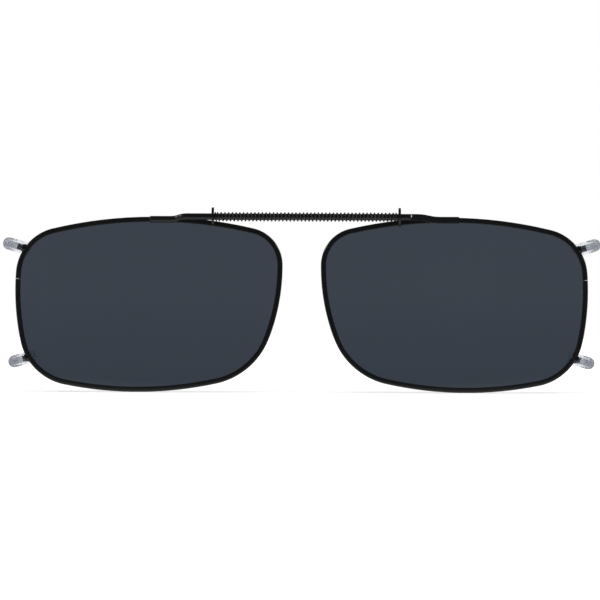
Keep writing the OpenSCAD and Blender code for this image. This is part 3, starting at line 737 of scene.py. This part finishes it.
def makeSleeve(side, level):
    start, out, back, normal = prongAxes(side, level)
    hook = hooks[level]
    bore, lip, end = prongR + sleeve["fit"], sleeve["lip"], sleeve["end"]
    lipStep = sleeve["lipStep"] * lip  # the lip is rounded in two steps
    x, y, h = hook[mouth]
    tube = [(x + s * math.cos(h), y + s * math.sin(h), h) for s in (0, lipStep, lip)]
    tube += hook[mouth + 1:]
    ex, ey, eh = hook[-1]
    past = lambda d: (ex + d * math.cos(eh), ey + d * math.sin(eh), eh)
    rings = [(past(end), bore * share) for share in sleeve["boreEnds"]] + [(past(0), bore)]
    rings += [(spot, bore) for spot in tube[-2:1:-1]]
    rings += [(tube[1], bore + lipStep), (tube[0], bore + lip)]
    rings += [(tube[0], sleeveR - lip), (tube[1], sleeveR - lipStep)]
    rings += [(spot, sleeveR) for spot in tube[2:]]
    for k in range(1, sleeve["tipSteps"]):
        a = math.pi / 2 * k / sleeve["tipSteps"]
        rings.append((past(sleeveR * math.sin(a)), sleeveR * math.cos(a)))
    points, faces, n = [], [], sleeve["sides"]
    for (along, across, heading), r in rings:
        beside = back * math.cos(heading) - out * math.sin(heading)
        middle = start + out * along + back * across
        for k in range(n):
            a = 2 * math.pi * k / n
            points.append(middle + beside * (r * math.cos(a)) + normal * (r * math.sin(a)))
    for i in range(len(rings) - 1):
        for k in range(n):
            m = (k + 1) % n
            faces.append((i * n + k, i * n + m, (i + 1) * n + m, (i + 1) * n + k))
    for base, spot in ((0, past(end)), ((len(rings) - 1) * n, past(sleeveR))):
        points.append(start + out * spot[0] + back * spot[1])
        faces += [(len(points) - 1, base + k, base + (k + 1) % n) for k in range(n)]
    piece = meshObject(side + level + "Sleeve", points, faces, vinyl)
    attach(piece, side + "_half")
    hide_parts(f"{side}_{level.lower()}_sleeve")


for side in sides:
    for level in roots:
        makeProng(side, level)
        makeSleeve(side, level)
bpy.data.objects.remove(roundSection)
print("prongs and sleeves made")


# Floor, light and camera

studio = {
    "frameWidth": 125.6, "aim": (-0.34, -2.0, 1.01), "focal": 300.0, "sensor": 36.0, "roll": -0.2,
    "clip": (0.01, 20.0),  # metres
    "floorSize": 3.0, "paper": ("#f3f3f3", "#f7f7f7"), "paperCloud": 60.0, "floorGlow": 0.34,
    "paperRadius": 110.0, "whiteRadius": 260.0,  # plain paper within the first, pure white past the second
    "ambient": 0.45, "frontGloss": 0.08, "topGloss": 0.2,  # levels of the world, the last two in mirrors
    "frontTurn": (-0.4, 0.5), "topTurn": (0.1, 0.6), "floorTurn": (0.45, 0.75),  # where those set in
}
scene = bpy.context.scene
scene.view_settings.view_transform = "Standard"

# Paper sweep, matt: even white that keeps the soft shadow of the object
floorMaterial, tree, shader, place = newMaterial("paperSweepWhite", {
    "Roughness": 0.9, "Specular IOR Level": 0.1})
cloud = addNode(tree, "ShaderNodeTexNoise", links={
    "Vector": place, "Scale": 1 / (studio["paperCloud"] * mm), "Detail": noiseDetail})
colour = addNode(tree, "ShaderNodeMix", {"data_type": "RGBA"}, {
    0: cloud.outputs["Fac"], 6: hexToLinear(studio["paper"][0]), 7: hexToLinear(studio["paper"][1])})
tree.links.new(colour.outputs[2], shader["Base Color"])
rays = addNode(tree, "ShaderNodeLightPath").outputs
apart = addNode(tree, "ShaderNodeVectorMath", {"operation": "LENGTH"}, {0: place}).outputs["Value"]
lift = addNode(tree, "ShaderNodeMapRange", links={  # paper near the object, plain white further off
    "Value": apart, "From Min": studio["paperRadius"] * mm, "From Max": studio["whiteRadius"] * mm,
    "To Min": studio["floorGlow"], "To Max": 1.0}).outputs["Result"]
lift = addNode(tree, "ShaderNodeMath", {"operation": "MULTIPLY"}, {0: rays["Is Camera Ray"], 1: lift})
glow = addNode(tree, "ShaderNodeEmission", links={"Strength": lift.outputs[0]})
paper = next(n for n in tree.nodes if n.type == "BSDF_PRINCIPLED")
lit = addNode(tree, "ShaderNodeAddShader", links={0: paper.outputs["BSDF"], 1: glow.outputs["Emission"]})
way = addNode(tree, "ShaderNodeVectorMath", {"operation": "NORMALIZE"}, {0: place}).outputs["Vector"]
way = addNode(tree, "ShaderNodeSeparateXYZ", links={"Vector": way}).outputs["Y"]
farLevel = addNode(tree, "ShaderNodeMapRange", links={  # meets the world's level at the horizon
    "Value": way, "From Min": studio["frontTurn"][0], "From Max": studio["frontTurn"][1],
    "To Min": studio["frontGloss"], "To Max": 1.0})
grazed = addNode(tree, "ShaderNodeLayerWeight", links={"Blend": 0.5}).outputs["Facing"]
mirrored = addNode(tree, "ShaderNodeMapRange", links={
    "Value": grazed, "From Min": studio["floorTurn"][0], "From Max": studio["floorTurn"][1],
    "To Min": 1.0, "To Max": farLevel.outputs["Result"]})
indirect = addNode(tree, "ShaderNodeMath", {"operation": "MAXIMUM"}, {
    0: mirrored.outputs["Result"], 1: rays["Is Transmission Ray"]})
indirect = addNode(tree, "ShaderNodeEmission", links={"Strength": indirect.outputs[0]})
both = addNode(tree, "ShaderNodeMixShader", links={  # rays through a lens count as glossy too
    0: rays["Is Glossy Ray"], 1: lit.outputs["Shader"], 2: indirect.outputs["Emission"]})
out = next(n for n in tree.nodes if n.type == "OUTPUT_MATERIAL")
tree.links.new(both.outputs["Shader"], out.inputs["Surface"])

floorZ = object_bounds()[0].z / mm
half = studio["floorSize"] / 2 / mm
floorMesh = bpy.data.meshes.new("paperFloor")
floorCorners = [(-half, -half, floorZ), (half, -half, floorZ), (half, half, floorZ), (-half, half, floorZ)]
floorMesh.from_pydata([Vector(p) * mm for p in floorCorners], [], [(0, 1, 2, 3)])
floorMesh.materials.append(floorMaterial)
floor = bpy.data.objects.new("paperFloor", floorMesh)
scene.collection.objects.link(floor)

# white where it is seen directly or through a lens; in mirrors white behind, dim in front and overhead
world = bpy.data.worlds.new("whiteStudio")
scene.world = world
world.use_nodes = True
tree = world.node_tree
background = next(n for n in tree.nodes if n.type == "BACKGROUND")
background.inputs["Color"].default_value = (1.0, 1.0, 1.0, 1.0)
rays = addNode(tree, "ShaderNodeLightPath").outputs
facing = addNode(tree, "ShaderNodeTexCoord").outputs["Generated"]
facing = addNode(tree, "ShaderNodeSeparateXYZ", links={"Vector": facing}).outputs
gloss = addNode(tree, "ShaderNodeMapRange", links={
    "Value": facing["Y"], "From Min": studio["frontTurn"][0], "From Max": studio["frontTurn"][1],
    "To Min": studio["frontGloss"], "To Max": 1.0})
shade = addNode(tree, "ShaderNodeMapRange", links={
    "Value": facing["Z"], "From Min": studio["topTurn"][0], "From Max": studio["topTurn"][1],
    "To Min": 1.0, "To Max": studio["topGloss"]})
gloss = addNode(tree, "ShaderNodeMath", {"operation": "MULTIPLY"}, {
    0: gloss.outputs["Result"], 1: shade.outputs["Result"]})
base = addNode(tree, "ShaderNodeMix", {"data_type": "FLOAT"}, {
    0: rays["Is Glossy Ray"], 2: studio["ambient"], 3: gloss.outputs[0]})
direct = addNode(tree, "ShaderNodeMath", {"operation": "MAXIMUM"}, {
    0: rays["Is Camera Ray"], 1: rays["Is Transmission Ray"]})
level = addNode(tree, "ShaderNodeMath", {"operation": "MAXIMUM"}, {0: direct.outputs[0], 1: base.outputs[0]})
tree.links.new(level.outputs[0], background.inputs["Strength"])

lamps = {  # place in millimetres, size in millimetres, watts, whether it shows in mirrors
    "topSoftbox": ((0, -260, 620), 700, 1.45, False),
    "leftSoftbox": ((-560, -20, 330), 140, 1.0, True),
    "rightSoftbox": ((560, -20, 330), 140, 1.0, True),
}
for name, (spot, size, watts, mirrored) in lamps.items():
    lamp = bpy.data.lights.new(name, "AREA")
    lamp.shape = "SQUARE"
    lamp.size, lamp.energy = size * mm, watts
    obj = bpy.data.objects.new(name, lamp)
    obj.location = Vector(spot) * mm
    obj.rotation_euler = (-obj.location).to_track_quat("-Z", "Y").to_euler()
    obj.visible_camera = obj.visible_transmission = False
    obj.visible_glossy = mirrored
    scene.collection.objects.link(obj)

camera = bpy.data.cameras.new("photoCamera")
camera.lens, camera.sensor_width = studio["focal"], studio["sensor"]
cameraObject = bpy.data.objects.new("photoCamera", camera)
distance = studio["frameWidth"] * studio["focal"] / studio["sensor"]
aim = Vector(studio["aim"])
cameraObject.location = (aim - Vector((0, distance, 0))) * mm
cameraObject.rotation_euler = (math.radians(90), math.radians(studio["roll"]), 0)
camera.clip_start, camera.clip_end = studio["clip"]
scene.collection.objects.link(cameraObject)
scene.camera = cameraObject
print("stage, lights and camera made")
